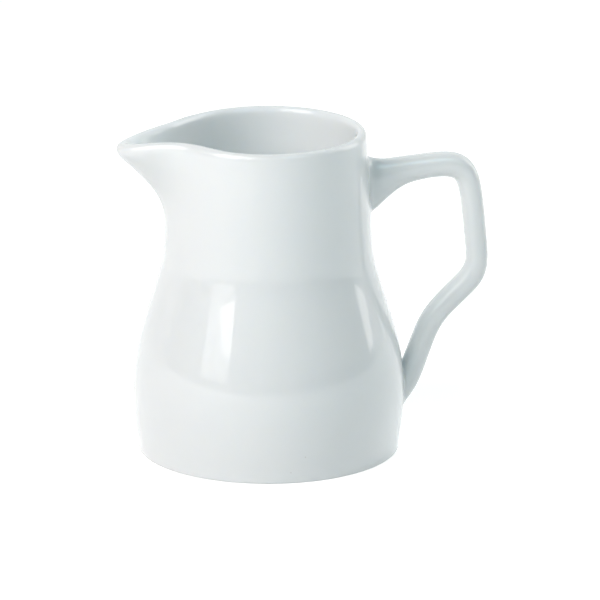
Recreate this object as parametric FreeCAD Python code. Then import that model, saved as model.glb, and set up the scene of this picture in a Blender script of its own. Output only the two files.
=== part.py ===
import FreeCAD, Part
import math
import os

# Milk jug of white glazed porcelain, cast in one piece: a round belly that narrows to a neck, a
# rounded lip drawn out to a pouring spout, and a strap handle opposite the spout.
# Millimetres, +Z up. The origin is on the body's axis, in the plane that the foot ring rests on.
# The spout points to -X and the handle to +X.

# Outside of the body, from the foot up: two convex arcs that meet at the widest point, a straight
# cone, a hollow arc and a straight neck, each tangent to the next.
height = 94.0  # table to the top of the plain rim
rim_radius = 28.0  # outside of the neck, at the height of the rim
neck_taper = 0.055  # widening of the neck for each millimetre down
belly_radius = 39.0  # widest point
belly_height = 18.0  # height of the widest point
foot_arc = 95.0  # radius of the belly's curve under the widest point, seen from the side
belly_arc = 60.0  # radius of the belly's curve above it
shoulder_lean = 17.0  # lean of the cone between belly and neck, in degrees
shoulder_arc = 30.0  # radius of the hollow curve from cone to neck

# Wall, floor and foot ring. The ring is the flat band that the jug stands on.
wall = 2.9
floor_height = 4.6  # table to the flat middle of the inside
floor_disc = 12.0  # radius of that flat middle
foot_radius = 37.6  # outside of the foot, which stands upright
foot_round = 0.5  # rounding of the outer edge of the foot
ring_width = 3.6
ring_depth = 1.5  # how far the underside is raised inside the ring
ring_slope = 0.8  # how much narrower the raised underside is at its top
ring_round = 0.5

# Lip: half an ellipse across the end of the wall.
lip_length = 1.9  # from the start of the rounding to the top of the lip

# Spout: the last stretch of the wall leans out in a narrow fan. Angles are in degrees about the
# body's axis, from the middle of the spout.
spout_depth = 12.1  # height over which the wall leans out
spout_slope = 1.18  # lean at the middle of the spout, outwards for each millimetre up
spout_bend = 3.6  # softness of the bend from wall to spout
spout_angle = 12.9  # half width of the spout at the lip
spout_widening = 0.5  # share by which the spout is wider where it starts
spout_flare = 1.45  # hollowness of the spout's sides, seen from above
nose_round = 4.6  # rounding of the nose, seen from above
nose_wall = 1.7  # extra thickness of the wall at the nose
nose_fade = 8.0  # height over which that extra thickness dies away
nose_length = 3.2  # extra height of the lip's rounding at the nose
nose_reach = 1.2  # extra length of that rounding along the leaning wall
nose_droop = 1.2  # how far the lip dips at the nose
droop_angle = 9.5
flank_rise = 0.75  # how far the lip lifts on each side of the spout
flank_angle = 25.0
flank_spread = 21.0

# Handle: a strap of rounded square section. Each station of a list below is the middle of one
# section: its distance outwards, its height, the direction of its thickness in degrees above
# straight out, its thickness, and how much wider it is than the strap.
handle_width = 7.2
handle_squareness = 3.0  # 2 makes the section an ellipse, larger makes it squarer
bar_drop = 12.8  # rim down to the middle of the bar that leaves the neck
handle_reach = 22.0  # widest point of the belly to the middle of the grip
grip_end = 52.6  # height of the lower end of the grip
root_height = 16.5  # height of the lower root
root_fillet = 1.8  # blend of the upper root into the neck
toe_fillet = 1.4  # blend of the lower root into the belly

# From the outside of the neck and the middle of the bar.
upper_root = (
    (-5.7, -5.2, 90, 19.5, 2.6),
    (-0.7, -5.2, 90, 18.0, 2.2),
    (2.3, -4.8, 90, 15.2, 1.1),
    (5.3, -3.6, 90, 11.9, 0.3),
    (9.8, -1.3, 93, 8.3, 0.0),
    (15.6, -0.4, 91, 7.2, 0.0),
)
# From the middle of the grip and the middle of the bar.
corner = (
    (-10.6, 0.2, 88, 7.2, 0.0),
    (-5.3, -0.4, 68, 7.6, 0.0),
    (-2.6, -4.0, 38, 7.5, 0.0),
    (-1.5, -9.9, 10, 6.4, 0.0),
)
# From the middle of the grip and its lower end.
elbow = (
    (0.4, 0.0, -5, 6.4, 0.0),
    (-0.6, -4.8, -32, 7.0, 0.0),
    (-5.4, -9.3, -45, 6.8, 0.0),
    (-10.0, -13.6, -43, 6.6, 0.0),
)
# From the outside of the belly and the height of the lower root.
lower_root = (
    (8.3, 18.0, -33, 6.6, 0.0),
    (6.0, 12.1, -24, 6.5, 0.0),
    (3.7, 5.8, -22, 6.6, 0.2),
    (1.3, -0.2, -32, 7.4, 0.6),
    (-2.4, -4.6, -58, 7.6, 1.0),
    (-8.0, -6.0, -75, 7.6, 1.4),
)

# How finely the surfaces are drawn.
around = 72  # points round the body
crowding = 0.55  # how much closer together they lie at the spout
wall_rows = 30
lip_rows = 6
floor_rows = 6
ring_points = 20  # points round the handle
grip_rows = 3
core_rows = 24
small_step = 0.05  # for slopes and for telling edges apart, in degrees or in millimetres


def body_radius(z):
    """Outside radius of the body without its spout, at height z."""
    if z < belly_height:
        drop = foot_arc - math.sqrt(foot_arc**2 - (belly_height - z) ** 2)
        return max(belly_radius - drop, foot_radius)
    lean = math.radians(shoulder_lean)
    taper = math.atan(neck_taper)
    cone_start = belly_height + belly_arc * math.sin(lean)
    if z < cone_start:
        return belly_radius - belly_arc + math.sqrt(belly_arc**2 - (z - belly_height) ** 2)
    cone_radius = belly_radius - belly_arc * (1.0 - math.cos(lean)) + cone_start * math.tan(lean)
    neck_radius = rim_radius + neck_taper * height
    crossing = (cone_radius - neck_radius) / (math.tan(lean) - neck_taper)
    reach = shoulder_arc * math.tan((lean - taper) / 2.0)
    neck_start = crossing + reach * math.cos(taper)
    if z < crossing - reach * math.cos(lean):
        return cone_radius - z * math.tan(lean)
    if z < neck_start:
        middle_height = neck_start + shoulder_arc * math.sin(taper)
        middle = neck_radius - neck_taper * neck_start + shoulder_arc * math.cos(taper)
        return middle - math.sqrt(shoulder_arc**2 - (middle_height - z) ** 2)
    return neck_radius - neck_taper * z


def bell(offset, spread):
    """A smooth hump of height 1 at no offset."""
    return math.exp(-((offset / spread) ** 2))


def nose(angle, widening=0.0):
    """Share of the spout's reach at an angle: 1 in the middle of the spout, 0 away from it."""
    width = spout_angle * (1.0 + widening)
    return math.exp(-(((math.hypot(angle, nose_round) - nose_round) / width) ** spout_flare))


def wall_end(angle):
    """Height at which the outside of the wall ends and the rounding of the lip starts."""
    top = height - nose_droop * bell(angle, droop_angle)
    top += flank_rise * bell(abs(angle) - flank_angle, flank_spread)
    return top - lip_length - nose_length * nose(angle)


def at(angle, radius, z):
    """Point at an angle from the spout, a distance from the axis and a height."""
    turn = math.radians(180.0 - angle)
    return FreeCAD.Vector(radius * math.cos(turn), radius * math.sin(turn), z)


def outside(angle, z):
    """Point of the outside of the wall, with the spout's lean."""
    below = wall_end(angle) - z
    lean = spout_slope * spout_bend * math.log(1.0 + math.exp((spout_depth - below) / spout_bend))
    widening = spout_widening * max(0.0, below) / spout_depth
    return at(angle, body_radius(z) + lean * nose(angle, widening), z)


def directions(angle, z):
    """The direction out of the wall and the direction up along it."""
    across = outside(angle - small_step, z) - outside(angle + small_step, z)
    up = outside(angle, z + small_step) - outside(angle, z - small_step)
    up.normalize()
    out = across.cross(up)
    out.normalize()
    return out, up


def thickness(angle, z):
    """Thickness of the wall, which grows towards the nose of the spout."""
    below = max(0.0, wall_end(angle) - z)
    return wall + nose_wall * nose(angle) * bell(below, nose_fade)


def fullness(step):
    """How much further out control points lie than the round curve they draw, a step of angle apart."""
    return 3.0 / (2.0 + math.cos(step))


def body_line(angle):
    """Control points from the foot, up the outside, over the lip and down the inside to the floor."""
    foot = body_radius(0.0)
    line = [at(angle, foot - foot_round, 0.0)]
    line.append(at(angle, foot, 0.0))
    line.append(at(angle, foot, foot_round))
    start = 3.0 * foot_round
    end = wall_end(angle)
    for row in range(wall_rows):
        line.append(outside(angle, start + (end - start) * row / wall_rows))
    out, up = directions(angle, end)
    half = thickness(angle, end) / 2.0
    length = lip_length + nose_reach * nose(angle)
    middle = outside(angle, end) - out * half
    stand_off = fullness(math.pi / lip_rows)
    for row in range(lip_rows + 1):
        sweep = math.pi * row / lip_rows
        across = out * (half * stand_off * math.cos(sweep))
        line.append(middle + across + up * (length * stand_off * math.sin(sweep)))
    for row in range(wall_rows - 1, 0, -1):
        z = belly_height + (end - belly_height) * row / wall_rows
        line.append(outside(angle, z) - directions(angle, z)[0] * thickness(angle, z))
    bowl_round = belly_height - floor_height
    bowl_middle = belly_radius - wall - bowl_round
    for row in range(floor_rows + 1):
        sweep = 0.5 * math.pi * row / floor_rows
        z = belly_height - bowl_round * math.sin(sweep)
        line.append(at(angle, bowl_middle + bowl_round * math.cos(sweep), z))
    line.append(at(angle, 0.5 * (bowl_middle + floor_disc), floor_height))
    line.append(at(angle, floor_disc, floor_height))
    return line


def skinned(lines):
    """Solid inside a smooth skin that closes round the lines, with a flat face at each end of them."""
    count = len(lines)
    spans = len(lines[0]) - 3
    surface = Part.BSplineSurface()
    round_knots = list(range(count + 1))
    line_knots = list(range(spans + 1))
    line_folds = [4] + [1] * (spans - 1) + [4]
    surface.buildFromPolesMultsKnots(
        lines, [1] * (count + 1), line_folds, round_knots, line_knots, True, False, 3, 3
    )
    skin = surface.toShape()
    ends = [Part.Face(Part.Wire([edge])) for edge in skin.Edges if edge.isClosed()]
    shell = Part.Shell([skin] + ends)
    shell.sewShape()
    return Part.Solid(shell)


def body():
    """The body with its spout, lip and inside, still flat underneath."""
    lines = []
    for column in range(around):
        even = 90.0 + 360.0 * column / around
        angle = even - math.degrees(crowding * math.sin(math.radians(even)))
        lines.append(body_line((angle + 180.0) % 360.0 - 180.0))
    return skinned(lines)


def handle_stations():
    """The sections of the handle from inside the neck to inside the belly, as x, z and shape."""
    bar = height - bar_drop
    neck = body_radius(bar)
    belly = body_radius(root_height)
    stations = [(neck + x, bar + z, *shape) for x, z, *shape in upper_root]
    grip = belly_radius + handle_reach
    stations += [(grip + x, bar + z, *shape) for x, z, *shape in corner]
    upper = stations[-1]
    turn = [(grip + x, grip_end + z, *shape) for x, z, *shape in elbow]
    for row in range(1, grip_rows):
        share = row / grip_rows
        stations.append(tuple(a + (b - a) * share for a, b in zip(upper, turn[0])))
    stations += turn
    stations += [(belly + x, root_height + z, *shape) for x, z, *shape in lower_root]
    return stations


def squared(share):
    """A share of a circle's radius, moved out to the rounded square of the handle's section."""
    return math.copysign(abs(share) ** (2.0 / handle_squareness), share)


def strap_ring(x, z, lean, depth, extra_width):
    """Control points round one section of the handle."""
    outwards = FreeCAD.Vector(math.cos(math.radians(lean)), 0.0, math.sin(math.radians(lean)))
    middle = FreeCAD.Vector(x, 0.0, z)
    step = 2.0 * math.pi / ring_points
    half_depth = fullness(step) * depth / 2.0
    half_width = fullness(step) * (handle_width + extra_width) / 2.0
    ring = []
    for point in range(ring_points):
        sweep = (point + 0.5) * step
        across = outwards * (half_depth * squared(math.cos(sweep)))
        ring.append(middle + across + FreeCAD.Vector(0.0, half_width * squared(math.sin(sweep)), 0.0))
    return ring


def core():
    """What lies inside the middle of the wall, where no part of the handle may reach."""
    low = floor_height / 2.0
    profile = []
    for row in range(core_rows + 1):
        z = low + (height - low) * row / core_rows
        profile.append(FreeCAD.Vector(body_radius(z) - wall / 2.0, 0.0, z))
    curve = Part.BSplineCurve()
    curve.interpolate(Points=profile)
    bottom = FreeCAD.Vector(0.0, 0.0, low)
    top = FreeCAD.Vector(0.0, 0.0, height)
    sides = [Part.makeLine(profile[-1], top), Part.makeLine(top, bottom), Part.makeLine(bottom, profile[0])]
    outline = Part.Face(Part.Wire([curve.toShape()] + sides))
    return outline.revolve(FreeCAD.Vector(), FreeCAD.Vector(0.0, 0.0, 1.0), 360.0)


def handle():
    """The strap, ending in the middle of the wall at both roots."""
    rings = [strap_ring(*station) for station in handle_stations()]
    strap = skinned([[ring[point] for ring in rings] for point in range(ring_points)])
    return strap.cut(core())


def recess():
    """The hollow under the jug, inside the foot ring."""
    wide = body_radius(0.0) - foot_round - ring_width
    return Part.makeCone(wide, wide - ring_slope, ring_depth)


def blended(jug, radius, low, high):
    """The jug with a rounded blend where a root of the handle, between two heights, meets the body."""
    seam = []
    for edge in jug.Edges:
        box = edge.BoundBox
        if box.XMin > 0.0 and box.ZMin > low and box.ZMax < high and box.YLength > handle_width / 2.0:
            seam.append(edge)
    return jug.makeFillet(radius, seam)


def ring_edges(jug):
    """The two circular edges of the hollow under the jug."""
    within = 2.0 * (body_radius(0.0) - foot_round - small_step)
    found = []
    for edge in jug.Edges:
        box = edge.BoundBox
        if box.ZMax < ring_depth + small_step and box.XLength < within and edge.isClosed():
            found.append(edge)
    return found


os.makedirs("parts", exist_ok=True)
jug = body().fuse(handle())
jug = blended(jug, root_fillet, grip_end, height)
jug = blended(jug, toe_fillet, 0.0, grip_end)
jug = jug.cut(recess())
jug = jug.makeFillet(ring_round, ring_edges(jug))
jug.Solids[0].exportStep("parts/jug.step")
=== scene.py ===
import math

import bmesh
import bpy
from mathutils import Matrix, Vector


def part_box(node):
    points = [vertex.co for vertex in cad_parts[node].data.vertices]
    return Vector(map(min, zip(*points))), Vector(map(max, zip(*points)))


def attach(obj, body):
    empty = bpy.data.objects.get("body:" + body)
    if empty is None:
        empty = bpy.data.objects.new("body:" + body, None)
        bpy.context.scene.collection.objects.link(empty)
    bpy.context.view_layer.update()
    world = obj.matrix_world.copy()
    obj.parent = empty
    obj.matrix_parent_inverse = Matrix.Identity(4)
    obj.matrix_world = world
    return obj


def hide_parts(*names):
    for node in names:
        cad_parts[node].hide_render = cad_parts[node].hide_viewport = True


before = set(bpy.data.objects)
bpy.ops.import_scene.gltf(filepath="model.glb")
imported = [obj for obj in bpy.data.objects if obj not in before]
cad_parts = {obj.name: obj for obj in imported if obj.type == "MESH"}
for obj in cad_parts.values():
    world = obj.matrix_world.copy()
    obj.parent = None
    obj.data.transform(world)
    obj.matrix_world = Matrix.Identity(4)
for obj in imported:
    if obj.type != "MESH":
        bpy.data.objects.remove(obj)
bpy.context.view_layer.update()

# ---------------------------------------------------------------------------
# The jug's body: a bellied pot of white porcelain that narrows to its neck.
# Body, spout and handle are one piece, slip-cast in a plaster mould. Sizes are
# in millimetres until the mesh is made.
# ---------------------------------------------------------------------------
height = 94.0
rim_radius = 28.0
neck_taper = 0.055
belly_radius = 39.0
belly_height = 18.0
foot_arc = 95.0
belly_arc = 60.0
shoulder_lean = 17.0
shoulder_arc = 30.0
foot_radius = 37.6
wall = 2.9


def body_radius(z):
    """Outside radius of the body without its spout, at height z."""
    if z < belly_height:
        drop = foot_arc - math.sqrt(foot_arc**2 - (belly_height - z) ** 2)
        return max(belly_radius - drop, foot_radius)
    lean = math.radians(shoulder_lean)
    taper = math.atan(neck_taper)
    cone_start = belly_height + belly_arc * math.sin(lean)
    if z < cone_start:
        return belly_radius - belly_arc + math.sqrt(belly_arc**2 - (z - belly_height) ** 2)
    cone_radius = belly_radius - belly_arc * (1.0 - math.cos(lean)) + cone_start * math.tan(lean)
    neck_radius = rim_radius + neck_taper * height
    crossing = (cone_radius - neck_radius) / (math.tan(lean) - neck_taper)
    reach = shoulder_arc * math.tan((lean - taper) / 2.0)
    neck_start = crossing + reach * math.cos(taper)
    if z < crossing - reach * math.cos(lean):
        return cone_radius - z * math.tan(lean)
    if z < neck_start:
        middle_height = neck_start + shoulder_arc * math.sin(taper)
        middle = neck_radius - neck_taper * neck_start + shoulder_arc * math.cos(taper)
        return middle - math.sqrt(shoulder_arc**2 - (middle_height - z) ** 2)
    return neck_radius - neck_taper * z


def around(angle, radius, z):
    """Point at an angle from the spout, a distance from the axis and a height."""
    turn = math.radians(180.0 - angle)
    return Vector((radius * math.cos(turn), radius * math.sin(turn), z))


# ---------------------------------------------------------------------------
# The lip and the spout: a thick rounded rim, drawn out to a nose opposite the
# handle. The wall leans out and thickens under the nose, the nose droops a
# little, and the rim stands higher at both its flanks.
# ---------------------------------------------------------------------------
lip_length = 1.9
spout_depth = 12.1
spout_slope = 1.18
spout_bend = 3.6
spout_angle = 12.9
spout_widening = 0.5
spout_flare = 1.45
nose_round = 4.6
nose_wall = 1.7
nose_fade = 8.0
nose_length = 3.2
nose_reach = 1.2
nose_droop = 1.2
droop_angle = 9.5
flank_rise = 0.75
flank_angle = 25.0
flank_spread = 21.0


def bell(offset, spread):
    """A smooth hump of height 1 at no offset."""
    return math.exp(-((offset / spread) ** 2))


def nose(angle, widening=0.0):
    """Share of the spout's reach at an angle in degrees from the middle of the spout."""
    width = spout_angle * (1.0 + widening)
    return math.exp(-(((math.hypot(angle, nose_round) - nose_round) / width) ** spout_flare))


def wall_end(angle):
    """Height at which the rounding of the lip starts."""
    top = height - nose_droop * bell(angle, droop_angle)
    top += flank_rise * bell(abs(angle) - flank_angle, flank_spread)
    return top - lip_length - nose_length * nose(angle)


def outside(angle, z):
    """Point of the outside of the wall, with the lean of the spout."""
    below = wall_end(angle) - z
    lean = spout_slope * spout_bend * math.log(1.0 + math.exp((spout_depth - below) / spout_bend))
    widening = spout_widening * max(0.0, below) / spout_depth
    return around(angle, body_radius(z) + lean * nose(angle, widening), z)


def directions(angle, z):
    """The direction out of the wall and the direction up along it."""
    step = 0.05
    across = outside(angle - step, z) - outside(angle + step, z)
    up = (outside(angle, z + step) - outside(angle, z - step)).normalized()
    return across.cross(up).normalized(), up


def thickness(angle, z):
    """Thickness of the wall, which grows towards the nose of the spout."""
    return wall + nose_wall * nose(angle) * bell(max(0.0, wall_end(angle) - z), nose_fade)


# ---------------------------------------------------------------------------
# The handle: a strap of rounded square section, cast with the body. A bar
# leaves the neck and turns down to the grip, and a sloping leg runs back to
# the belly. Both ends spread where they grow out of the wall.
# ---------------------------------------------------------------------------
handle_width = 7.2
handle_squareness = 2.3
bar_drop = 12.8
handle_reach = 22.0
grip_end = 52.6
root_height = 16.5
# Each row is one section: how far its middle lies out and up from the point that its stretch is
# measured from, the direction of its thickness in degrees above straight out, its thickness and
# its extra width.
upper_root = (
    (-5.7, -5.2, 90, 19.5, 2.6),
    (-0.7, -5.2, 90, 18.0, 2.2),
    (2.3, -4.8, 90, 15.2, 1.1),
    (5.3, -3.6, 90, 11.9, 0.3),
    (9.8, -1.3, 93, 8.3, 0.0),
    (15.6, -0.4, 91, 7.2, 0.0),
)
corner = (
    (-10.6, 0.2, 88, 7.2, 0.0),
    (-5.3, -0.4, 68, 7.6, 0.0),
    (-2.6, -4.0, 38, 7.5, 0.0),
    (-1.5, -9.9, 10, 6.4, 0.0),
)
elbow = (
    (0.4, 0.0, -5, 6.4, 0.0),
    (-0.6, -4.8, -32, 7.0, 0.0),
    (-5.4, -9.3, -45, 6.8, 0.0),
    (-10.0, -13.6, -43, 6.6, 0.0),
)
lower_root = (
    (8.3, 18.0, -33, 6.6, 0.0),
    (6.0, 12.1, -24, 6.5, 0.0),
    (3.7, 5.8, -22, 6.6, 0.2),
    (1.3, -0.2, -32, 7.4, 0.6),
    (-2.4, -4.6, -58, 7.6, 1.0),
    (-8.0, -6.0, -75, 7.6, 1.4),
)
grip_steps = 3
# Steps across and down each side of a section, and of the opening that its root grows out of.
root_columns = 6
root_rows = 10


def ring_places():
    """Where the points of a section lie on a square, side after side, as width and depth shares."""
    half_wide = root_columns // 2
    half_deep = root_rows // 2
    places = [(step / half_wide, 1.0) for step in range(-half_wide, half_wide)]
    places += [(1.0, -step / half_deep) for step in range(-half_deep, half_deep)]
    places += [(-step / half_wide, -1.0) for step in range(-half_wide, half_wide)]
    places += [(-1.0, step / half_deep) for step in range(-half_deep, half_deep)]
    return places


def strap_ring(x, z, lean, depth, extra_width):
    """Points round one section of the handle."""
    outwards = Vector((math.cos(math.radians(lean)), 0.0, math.sin(math.radians(lean))))
    ring = []
    for wide, deep in ring_places():
        size = abs(wide) ** handle_squareness + abs(deep) ** handle_squareness
        size = size ** (1.0 / handle_squareness)
        across = outwards * (0.5 * depth * deep / size)
        side = Vector((0.0, 0.5 * (handle_width + extra_width) * wide / size, 0.0))
        ring.append(Vector((x, 0.0, z)) + across + side)
    return ring


def handle_rings():
    """The sections of the handle from inside the neck to inside the belly."""
    bar = height - bar_drop
    grip = belly_radius + handle_reach
    neck = body_radius(bar)
    belly = body_radius(root_height)
    stations = [(neck + x, bar + z, *shape) for x, z, *shape in upper_root]
    stations += [(grip + x, bar + z, *shape) for x, z, *shape in corner]
    turn = [(grip + x, grip_end + z, *shape) for x, z, *shape in elbow]
    grip_top = stations[-1]
    for step in range(1, grip_steps):
        share = step / grip_steps
        stations.append(tuple(a + (b - a) * share for a, b in zip(grip_top, turn[0])))
    stations += turn
    stations += [(belly + x, root_height + z, *shape) for x, z, *shape in lower_root]
    return [strap_ring(*station) for station in stations]


def along(line, place):
    """Point of the smooth curve that a line of control points draws, at a place counted in points."""
    first = min(max(int(place), 1), len(line) - 3)
    t = place - first
    shares = ((1 - t) ** 3, 3 * t**3 - 6 * t**2 + 4, 1 + 3 * t + 3 * t**2 - 3 * t**3, t**3)
    near = line[first - 1 : first + 3]
    return sum((point * share for point, share in zip(near, shares)), Vector()) / 6.0


def meets_wall(line, free, buried):
    """Place where a line of the handle goes into the wall, between a free and a buried place."""
    halvings = 30
    for _ in range(halvings):
        place = 0.5 * (free + buried)
        point = along(line, place)
        if math.hypot(point.x, point.y) > body_radius(point.z):
            free = place
        else:
            buried = place
    return place


rings = handle_rings()
lines = list(zip(*rings))
first_free = 2
last_free = len(rings) - 5
first_buried = 0.5
last_buried = len(rings) - 1.5
top_places = [meets_wall(line, first_free, first_buried) for line in lines]
low_places = [meets_wall(line, last_free, last_buried) for line in lines]
top_joint = [along(line, place) for line, place in zip(lines, top_places)]
low_joint = [along(line, place) for line, place in zip(lines, low_places)]
# The last stretch down to the belly has rings of its own, which tilt step by step to the joint.
root_steps = 4
free_rings = rings[first_free : last_free + 1]
for step in range(1, root_steps):
    share = step / root_steps
    free_rings.append(
        [along(line, last_free + (place - last_free) * share) for line, place in zip(lines, low_places)]
    )

# ---------------------------------------------------------------------------
# The whole jug as one smooth skin: the pot is a grid of points, columns round
# its axis by rows up the outside and down the inside, with an opening left in
# the wall at each root, where the handle is bridged on.
# ---------------------------------------------------------------------------
mm = 0.001
# Points nearer to each other than this are one point.
tiny = 0.01 * mm
columns = 60
foot_rows = 3
belly_rows = 12
neck_rows = 3
lip_rows = 6
inner_rows = 18
bowl_rows = 6
root_margin = 2.2
fan_start = 50.0
floor_height = 4.6
floor_radii = (18.0, 12.0, 5.0)
underside_rise = 1.5
foot_inner = 33.5
foot_outer = 37.1
foot_top = 1.5
# Spacing of the columns: as a share of the even spacing at the spout, and in millimetres where the
# handle joins.
spout_spacing = 0.55
handle_spacing = 2.0
# Share that draws the pot's points in, so that the skin stays inside the solid.
hair = 0.9976


def spaced(start, end, steps):
    """Even steps from start up to, but not including, end."""
    return [start + (end - start) * step / steps for step in range(steps)]


# Underside and foot ring, as distance from the axis and height.
under_rows = (
    (10.0, underside_rise),
    (24.0, underside_rise),
    (foot_inner - 1.7, underside_rise),
    (foot_inner - 0.8, underside_rise),
    (foot_inner - 0.4, 0.5 * underside_rise),
    (foot_inner, 0.0),
    (foot_inner + 0.8, 0.0),
    (foot_outer - 0.8, 0.0),
    (foot_outer, 0.0),
    (foot_radius, 0.0),
    (foot_radius, 0.5),
)
# Heights of the rows up the outside, as they are on the side away from the spout.
low_hole = (min(p.z for p in low_joint) - root_margin, max(p.z for p in low_joint) + root_margin)
top_hole = (min(p.z for p in top_joint) - root_margin, max(p.z for p in top_joint) + root_margin)
plain_end = wall_end(180.0)
outer_rows = spaced(foot_top, low_hole[0], foot_rows)
low_first = len(outer_rows)
outer_rows += spaced(*low_hole, root_rows) + spaced(low_hole[1], top_hole[0], belly_rows)
top_first = len(outer_rows)
outer_rows += spaced(*top_hole, root_rows) + spaced(top_hole[1], plain_end, neck_rows)


def fullness(turn):
    """How far out control points lie, as a share, to draw a round when they are a turn apart."""
    return 3.0 / (2.0 + math.cos(turn))


def pot_line(angle, full):
    """The points up one side of the pot: underside, foot, outside, lip, inside and floor."""
    line = [around(angle, radius, z) for radius, z in under_rows]
    end = wall_end(angle)
    for z in outer_rows:
        if z > fan_start:
            z = fan_start + (z - fan_start) * (end - fan_start) / (plain_end - fan_start)
        line.append(outside(angle, z))
    out, up = directions(angle, end)
    lip_full = fullness(math.pi / lip_rows)
    half = thickness(angle, end) / 2.0
    length = lip_length + nose_reach * nose(angle)
    middle = outside(angle, end) - out * half
    for row in range(lip_rows + 1):
        sweep = math.pi * row / lip_rows
        across = out * (half * lip_full * math.cos(sweep))
        line.append(middle + across + up * (length * lip_full * math.sin(sweep)))
    for row in range(inner_rows - 1, 0, -1):
        z = belly_height + (end - belly_height) * row / inner_rows
        line.append(outside(angle, z) - directions(angle, z)[0] * thickness(angle, z))
    bowl_round = belly_height - floor_height
    bowl_middle = belly_radius - wall - bowl_round
    for row in range(bowl_rows + 1):
        sweep = 0.5 * math.pi * row / bowl_rows
        z = belly_height - bowl_round * math.sin(sweep)
        line.append(around(angle, bowl_middle + bowl_round * math.cos(sweep), z))
    line += [around(angle, radius, floor_height) for radius in floor_radii]
    return [Vector((p.x * full * hair, p.y * full * hair, p.z)) for p in line]


def column_angle(column, z):
    """Angle and spacing of a column of points: close at the spout and where the handle joins."""
    even = 360.0 / columns
    turn = math.radians(even * column)
    handle_share = handle_spacing / body_radius(min(max(z, 0.0), height)) / math.radians(even)
    twice = 1.0 - 0.5 * (spout_spacing + handle_share)
    once = 0.5 * (handle_share - spout_spacing)
    angle = even * column - math.degrees(once * math.sin(turn) + 0.5 * twice * math.sin(2.0 * turn))
    return angle, even * (1.0 - once * math.cos(turn) - twice * math.cos(2.0 * turn))


last_row = len(pot_line(180.0, 1.0)) - 1
outer_first = len(under_rows)
lip_top = outer_first + len(outer_rows) + lip_rows // 2
row_heights = [0.0] * outer_first + outer_rows
row_heights += [plain_end] * (last_row + 1 - len(row_heights))
pot = bmesh.new()
bmesh.ops.create_grid(pot, x_segments=columns, y_segments=last_row, size=1.0)
row_of = pot.verts.layers.int.new("row")
column_of = pot.verts.layers.int.new("column")
# Marks the inside of the pot, where painted light goes into the glaze colour.
painted_light_mask = pot.verts.layers.float.new("painted_light_mask")
for vert in pot.verts:
    column = round((vert.co.x + 1.0) * columns / 2.0)
    row = round((vert.co.y + 1.0) * last_row / 2.0)
    vert[row_of] = row
    vert[column_of] = column % columns
    vert[painted_light_mask] = 1.0 if row > lip_top else 0.0
    angle, spacing = column_angle(column, row_heights[row])
    angle = (angle + 180.0) % 360.0 - 180.0
    vert.co = pot_line(angle, fullness(math.radians(spacing)))[row] * mm
bmesh.ops.remove_doubles(pot, verts=pot.verts, dist=tiny)


def cut_hole(first_row):
    """Opens the wall where a root of the handle joins and returns the edges round the opening."""
    first_column = (columns - root_columns) // 2
    rows = range(first_row, first_row + root_rows + 1)
    across = range(first_column, first_column + root_columns + 1)
    cut = set()
    for face in pot.faces:
        if all(vert[row_of] in rows and vert[column_of] in across for vert in face.verts):
            cut.add(face)
    border = [edge for edge in pot.edges if len(cut.intersection(edge.link_faces)) == 1]
    bmesh.ops.delete(pot, geom=list(cut), context="FACES_KEEP_BOUNDARY")
    return border


def closed_ring(points):
    """The edges of a new ring of points in the pot's mesh."""
    verts = [pot.verts.new(point * mm) for point in points]
    return [pot.edges.new((verts[i - 1], verts[i])) for i in range(len(verts))]


low_border = cut_hole(outer_first + low_first)
top_border = cut_hole(outer_first + top_first)
chain = [closed_ring(points) for points in [top_joint] + free_rings + [low_joint]]
for upper_edges, lower_edges in zip([top_border] + chain, chain + [low_border]):
    bmesh.ops.bridge_loops(pot, edges=upper_edges + lower_edges)

# Flat caps close the middle of the underside and of the floor.
bmesh.ops.holes_fill(pot, edges=[edge for edge in pot.edges if edge.is_boundary], sides=0)
bmesh.ops.recalc_face_normals(pot, faces=pot.faces)
for face in pot.faces:
    face.smooth = True
    on_foot = all(vert.co.z < tiny for vert in face.verts)
    face.material_index = 1 if on_foot else 0

mesh = bpy.data.meshes.new("jug_porcelain")
pot.to_mesh(mesh)
pot.free()
jug = bpy.data.objects.new("jug_porcelain", mesh)
bpy.context.collection.objects.link(jug)
smooth = jug.modifiers.new("smooth", "SUBSURF")
smooth.levels = 2
smooth.render_levels = 2
rounded = jug.evaluated_get(bpy.context.evaluated_depsgraph_get())
mesh = bpy.data.meshes.new_from_object(rounded)
jug.modifiers.clear()
jug.data = mesh

# ---------------------------------------------------------------------------
# The glaze: a clear gloss over the white porcelain, with painted light inside,
# where its colour is whiter and bluer for the light that falls in the mouth. It
# is a little darker at the foot and faintly wavy, and holds a few iron specks.
# ---------------------------------------------------------------------------
glaze_thin = (0.868, 0.888, 0.893)
glaze_thick = (0.862, 0.885, 0.891)
glaze_lip = (0.875, 0.888, 0.887)
# Painted light: the inside is coloured whiter and bluer for the light that falls and bounces into the
# mouth.
painted_light_inside_color = (0.92, 0.95, 0.96)
glaze_foot = (0.84, 0.855, 0.85)
iron_speck = (0.42, 0.38, 0.33)
glaze_finish = {
    "IOR": 1.5,
    "Specular IOR Level": 0.22,
    "Coat Weight": 0.9,
    "Coat Roughness": 0.045,
    "Coat IOR": 1.5,
    "Subsurface Weight": 0.25,
    "Subsurface Radius": (1.0, 0.9, 0.75),
    "Subsurface Scale": 0.003,
}
glaze_roughness = (0.29, 0.34)
# Heights in metres between which the lip's and the foot's own colour come and go, and their shares.
lip_band = (0.0915, 0.0935)
lip_share = 0.35
foot_band = (0.0005, 0.0022)
foot_share = 0.5
speck_size = 0.045
speck_share = 0.35
# The range in which most of a noise's values lie, and the top of it, where specks are allowed.
noise_middle = (0.25, 0.75)
noise_peaks = (0.62, 0.74)


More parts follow.
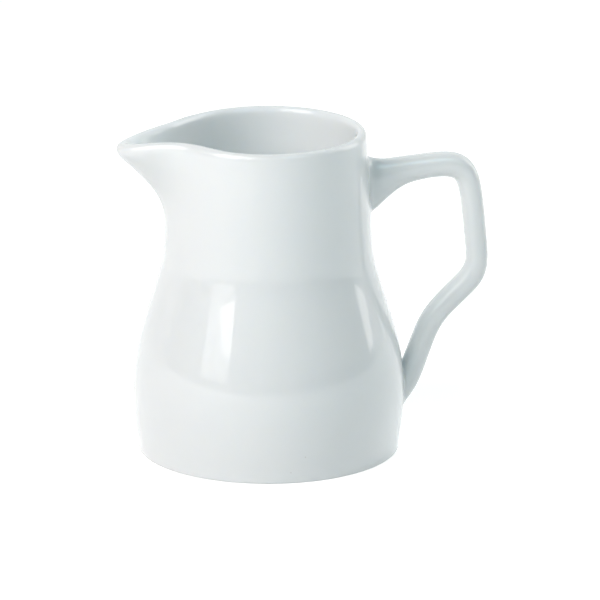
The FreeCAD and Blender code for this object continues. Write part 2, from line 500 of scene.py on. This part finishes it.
def pattern(where, kind, scale, detail=0.0):
    """A noise or cell pattern in the object's own coordinates, with about scale cells a metre."""
    tree = where.id_data
    node = tree.nodes.new(kind)
    node.inputs["Scale"].default_value = scale
    node.inputs["Detail"].default_value = detail
    tree.links.new(where.outputs["Object"], node.inputs["Vector"])
    return node


def ramp(value, low, high, start, end):
    """A smooth step from one number to another as a value goes from low to high."""
    tree = value.id_data
    node = tree.nodes.new("ShaderNodeMapRange")
    node.interpolation_type = "SMOOTHSTEP"
    node.inputs["From Min"].default_value = low
    node.inputs["From Max"].default_value = high
    node.inputs["To Min"].default_value = start
    node.inputs["To Max"].default_value = end
    tree.links.new(value, node.inputs["Value"])
    return node.outputs["Result"]


def blend(share, first, second):
    """A mix of two colours, either of which may come from a node."""
    tree = share.id_data
    node = tree.nodes.new("ShaderNodeMix")
    node.data_type = "RGBA"
    tree.links.new(share, node.inputs["Factor"])
    for socket, color in ((node.inputs[6], first), (node.inputs[7], second)):
        if isinstance(color, tuple):
            socket.default_value = (*color, 1.0)
        else:
            tree.links.new(color, socket)
    return node.outputs[2]


def reckon(operation, first, second):
    """What a Math node makes of a value from a node and a second value or a number."""
    tree = first.id_data
    node = tree.nodes.new("ShaderNodeMath")
    node.operation = operation
    tree.links.new(first, node.inputs[0])
    if isinstance(second, float):
        node.inputs[1].default_value = second
    else:
        tree.links.new(second, node.inputs[1])
    return node.outputs[0]


def bump(value, depth, strength=1.0):
    """A relief that follows a value, with its depth in metres from value 0 to value 1."""
    tree = value.id_data
    node = tree.nodes.new("ShaderNodeBump")
    node.inputs["Strength"].default_value = strength
    node.inputs["Distance"].default_value = depth
    tree.links.new(value, node.inputs["Height"])
    return node


glaze = bpy.data.materials.new("clear_glaze_on_porcelain")
glaze.use_nodes = True
nodes = glaze.node_tree.nodes
links = glaze.node_tree.links
shader = nodes["Principled BSDF"]
for socket, value in glaze_finish.items():
    shader.inputs[socket].default_value = value
where = nodes.new("ShaderNodeTexCoord")
spot = nodes.new("ShaderNodeSeparateXYZ")
links.new(where.outputs["Object"], spot.inputs[0])
# Painted light: the inside of the pot takes the whiter, bluer colour that stands in for its light.
inside = nodes.new("ShaderNodeAttribute")
inside.attribute_name = "painted_light_mask"

cloud = pattern(where, "ShaderNodeTexNoise", 30.0, 1.0)
color = blend(ramp(cloud.outputs["Fac"], *noise_middle, 0.0, 1.0), glaze_thin, glaze_thick)
color = blend(ramp(spot.outputs["Z"], *lip_band, 0.0, lip_share), color, glaze_lip)
color = blend(inside.outputs["Fac"], color, painted_light_inside_color)
color = blend(ramp(spot.outputs["Z"], *foot_band, foot_share, 0.0), color, glaze_foot)
specks = pattern(where, "ShaderNodeTexVoronoi", 210.0)
rare = pattern(where, "ShaderNodeTexNoise", 96.0)
dot_size = ramp(rare.outputs["Fac"], *noise_peaks, 0.0, speck_size)
inside_dot = reckon("LESS_THAN", specks.outputs["Distance"], dot_size)
color = blend(reckon("MULTIPLY", inside_dot, speck_share), color, iron_speck)
links.new(color, shader.inputs["Base Color"])

wear = pattern(where, "ShaderNodeTexNoise", 60.0)
links.new(ramp(wear.outputs["Fac"], *noise_middle, *glaze_roughness), shader.inputs["Roughness"])

wave = pattern(where, "ShaderNodeTexNoise", 40.0)
peel = pattern(where, "ShaderNodeTexNoise", 850.0, 1.0)
wavy = bump(wave.outputs["Fac"], 0.02 * mm)
skin = bump(peel.outputs["Fac"], 0.0015 * mm)
links.new(wavy.outputs["Normal"], skin.inputs["Normal"])
links.new(skin.outputs["Normal"], shader.inputs["Normal"])
links.new(skin.outputs["Normal"], shader.inputs["Coat Normal"])
mesh.materials.append(glaze)

# ---------------------------------------------------------------------------
# The flat of the foot: bare porcelain, wiped free of glaze before the firing
# and ground smooth. It is matt and grainy, with a trace of grey rubbed in.
# ---------------------------------------------------------------------------
bare_white = (0.80, 0.79, 0.76)
bare_grey = (0.66, 0.655, 0.63)
bare_roughness = (0.62, 0.82)
rubbed_range = (0.45, 0.75)
grain_range = (0.3, 0.7)
bisque = bpy.data.materials.new("bare_porcelain_foot")
bisque.use_nodes = True
nodes = bisque.node_tree.nodes
links = bisque.node_tree.links
bare = nodes["Principled BSDF"]
where = nodes.new("ShaderNodeTexCoord")
grain = pattern(where, "ShaderNodeTexNoise", 1400.0, 3.0)
rubbed = pattern(where, "ShaderNodeTexNoise", 90.0, 4.0)
grey_share = ramp(rubbed.outputs["Fac"], *rubbed_range, 0.0, 1.0)
links.new(blend(grey_share, bare_white, bare_grey), bare.inputs["Base Color"])
links.new(ramp(grain.outputs["Fac"], *grain_range, *bare_roughness), bare.inputs["Roughness"])
links.new(bump(grain.outputs["Fac"], 0.03 * mm, 0.6).outputs["Normal"], bare.inputs["Normal"])
mesh.materials.append(bisque)

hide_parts("jug")
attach(jug, "root")

# ---------------------------------------------------------------------------
# The table under the jug: a wide, plain white sheet. Part of its white is a
# glow that the camera and the jug's gloss see, and that lights nothing. It
# lies a hair below the foot, so that the two don't meet in one plane.
# ---------------------------------------------------------------------------
jug_low, jug_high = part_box("jug")
table_half = 4.0
table_gap = 0.05 * mm
table_glow = 0.62
table_color = (0.8, 0.8, 0.8, 1.0)
white = (1.0, 1.0, 1.0, 1.0)
table_mesh = bpy.data.meshes.new("table")
sheet = bmesh.new()
bmesh.ops.create_grid(sheet, x_segments=1, y_segments=1, size=table_half)
bmesh.ops.translate(sheet, verts=sheet.verts, vec=(0.0, 0.0, jug_low.z - table_gap))
sheet.to_mesh(table_mesh)
sheet.free()
table = bpy.data.objects.new("table", table_mesh)
bpy.context.collection.objects.link(table)


def greatest(share, *others):
    """The greatest of several values from nodes."""
    for other in others:
        share = reckon("MAXIMUM", share, other)
    return share


paper = bpy.data.materials.new("white_table")
paper.use_nodes = True
nodes = paper.node_tree.nodes
links = paper.node_tree.links
nodes.clear()
out = nodes.new("ShaderNodeOutputMaterial")
matt = nodes.new("ShaderNodeBsdfDiffuse")
matt.inputs["Color"].default_value = table_color
rays = nodes.new("ShaderNodeLightPath").outputs
seen = greatest(rays["Is Camera Ray"], rays["Is Glossy Ray"], rays["Is Transmission Ray"])
glow = nodes.new("ShaderNodeEmission")
glow.inputs["Color"].default_value = white
links.new(reckon("MULTIPLY", seen, table_glow), glow.inputs["Strength"])
both = nodes.new("ShaderNodeAddShader")
links.new(matt.outputs[0], both.inputs[0])
links.new(glow.outputs[0], both.inputs[1])
links.new(both.outputs[0], out.inputs["Surface"])
table_mesh.materials.append(paper)

# ---------------------------------------------------------------------------
# The room: soft patches of pale light in front of the jug, behind it and
# behind it on both sides. The camera sees the room plain white, and so does
# the jug's gloss where it mirrors what is behind the jug.
# ---------------------------------------------------------------------------
view_azimuth = -11.0
patch_falloff = 4.0
# Azimuth, elevation, and colour times strength.
patches = (
    (0.0, 24.0, (0.34, 0.38, 0.37)),
    (-135.0, 12.0, (0.10, 0.14, 0.14)),
    (135.0, 12.0, (0.20, 0.22, 0.22)),
    (180.0, 12.0, (1.20, 1.38, 1.42)),
)
backdrop_edge = (0.0, 0.5)


def toward(azimuth, elevation):
    """Direction from the jug, with the azimuth from the camera's side to the right."""
    turn = math.radians(view_azimuth + azimuth)
    rise = math.radians(elevation)
    return Vector((math.sin(turn) * math.cos(rise), -math.cos(turn) * math.cos(rise), math.sin(rise)))


def facing(direction, azimuth, elevation):
    """Cosine of the angle between a direction and a place in the room."""
    tree = direction.id_data
    node = tree.nodes.new("ShaderNodeVectorMath")
    node.operation = "DOT_PRODUCT"
    node.inputs[1].default_value = toward(azimuth, elevation)
    tree.links.new(direction, node.inputs[0])
    return node.outputs["Value"]


room = bpy.data.worlds.new("room")
bpy.context.scene.world = room
room.use_nodes = True
nodes = room.node_tree.nodes
links = room.node_tree.links
nodes.clear()
out = nodes.new("ShaderNodeOutputWorld")
direction = nodes.new("ShaderNodeTexCoord").outputs["Generated"]
room_light = None
for azimuth, elevation, color in patches:
    ahead = reckon("MAXIMUM", facing(direction, azimuth, elevation), 0.0)
    patch = nodes.new("ShaderNodeVectorMath")
    patch.operation = "MULTIPLY_ADD"
    patch.inputs[0].default_value = color
    links.new(reckon("POWER", ahead, patch_falloff), patch.inputs[1])
    if room_light:
        links.new(room_light, patch.inputs[2])
    room_light = patch.outputs[0]
fill = nodes.new("ShaderNodeBackground")
links.new(room_light, fill.inputs["Color"])
plain = nodes.new("ShaderNodeBackground")
plain.inputs["Color"].default_value = white
plain.inputs["Strength"].default_value = 1.0
rays = nodes.new("ShaderNodeLightPath").outputs
backdrop = ramp(facing(direction, 180.0, 0.0), *backdrop_edge, 0.0, 1.0)
glossy = reckon("MULTIPLY", rays["Is Glossy Ray"], backdrop)
mix = nodes.new("ShaderNodeMixShader")
links.new(greatest(glossy, rays["Is Camera Ray"], rays["Is Transmission Ray"]), mix.inputs["Fac"])
links.new(fill.outputs[0], mix.inputs[1])
links.new(plain.outputs[0], mix.inputs[2])
links.new(mix.outputs[0], out.inputs["Surface"])

# ---------------------------------------------------------------------------
# Studio light: a large soft light at the front left with a low one under it,
# a narrow one nearer the camera, a cool one high at the right, and a large
# and a narrow one on the handle's side, all a metre off.
# ---------------------------------------------------------------------------
lamp_distance = 1.0
aim = (jug_low + jug_high) / 2.0 + Vector((-1.3, -1.7, -3.9)) * mm


def soft_light(name, azimuth, elevation, wide, high, power, color):
    """An area light that looks at the jug, its sides in metres and its power in watts."""
    lamp = bpy.data.lights.new(name, "AREA")
    lamp.shape = "RECTANGLE"
    lamp.size = wide
    lamp.size_y = high
    lamp.energy = power
    lamp.color = color
    holder = bpy.data.objects.new(name, lamp)
    bpy.context.collection.objects.link(holder)
    away = toward(azimuth, elevation)
    holder.location = aim + away * lamp_distance
    holder.rotation_mode = "QUATERNION"
    holder.rotation_quaternion = (-away).to_track_quat("-Z", "Y")


soft_light("key", -48.0, 38.5, 0.5, 0.92, 6.5, (1.0, 0.95, 0.935))
soft_light("key_low", -48.0, 8.0, 0.44, 0.2, 0.42, (1.0, 0.97, 0.96))
soft_light("key_right", -23.0, 36.0, 0.07, 0.4, 0.75, (1.0, 0.98, 0.97))
soft_light("right_top", 35.0, 50.0, 0.4, 0.4, 1.35, (0.55, 0.88, 1.0))
soft_light("side", 114.0, 24.0, 0.5, 0.8, 2.95, (1.0, 0.96, 0.93))
soft_light("streak", 82.0, 27.0, 0.06, 0.5, 0.35, (1.0, 1.0, 0.95))

# ---------------------------------------------------------------------------
# The camera stands two metres off with a long lens, a little towards the
# spout's side and above the jug.
# ---------------------------------------------------------------------------
view_elevation = 16.59
view_distance = 2.0
view = bpy.data.cameras.new("camera")
view.lens = 418.0
view.sensor_width = 36.0
view.clip_start = 0.05
view.clip_end = 50.0
camera = bpy.data.objects.new("camera", view)
bpy.context.collection.objects.link(camera)
back = toward(0.0, view_elevation)
camera.location = aim + back * view_distance
camera.rotation_mode = "QUATERNION"
camera.rotation_quaternion = (-back).to_track_quat("-Z", "Y")
bpy.context.scene.camera = camera
bpy.context.scene.view_settings.view_transform = "Standard"
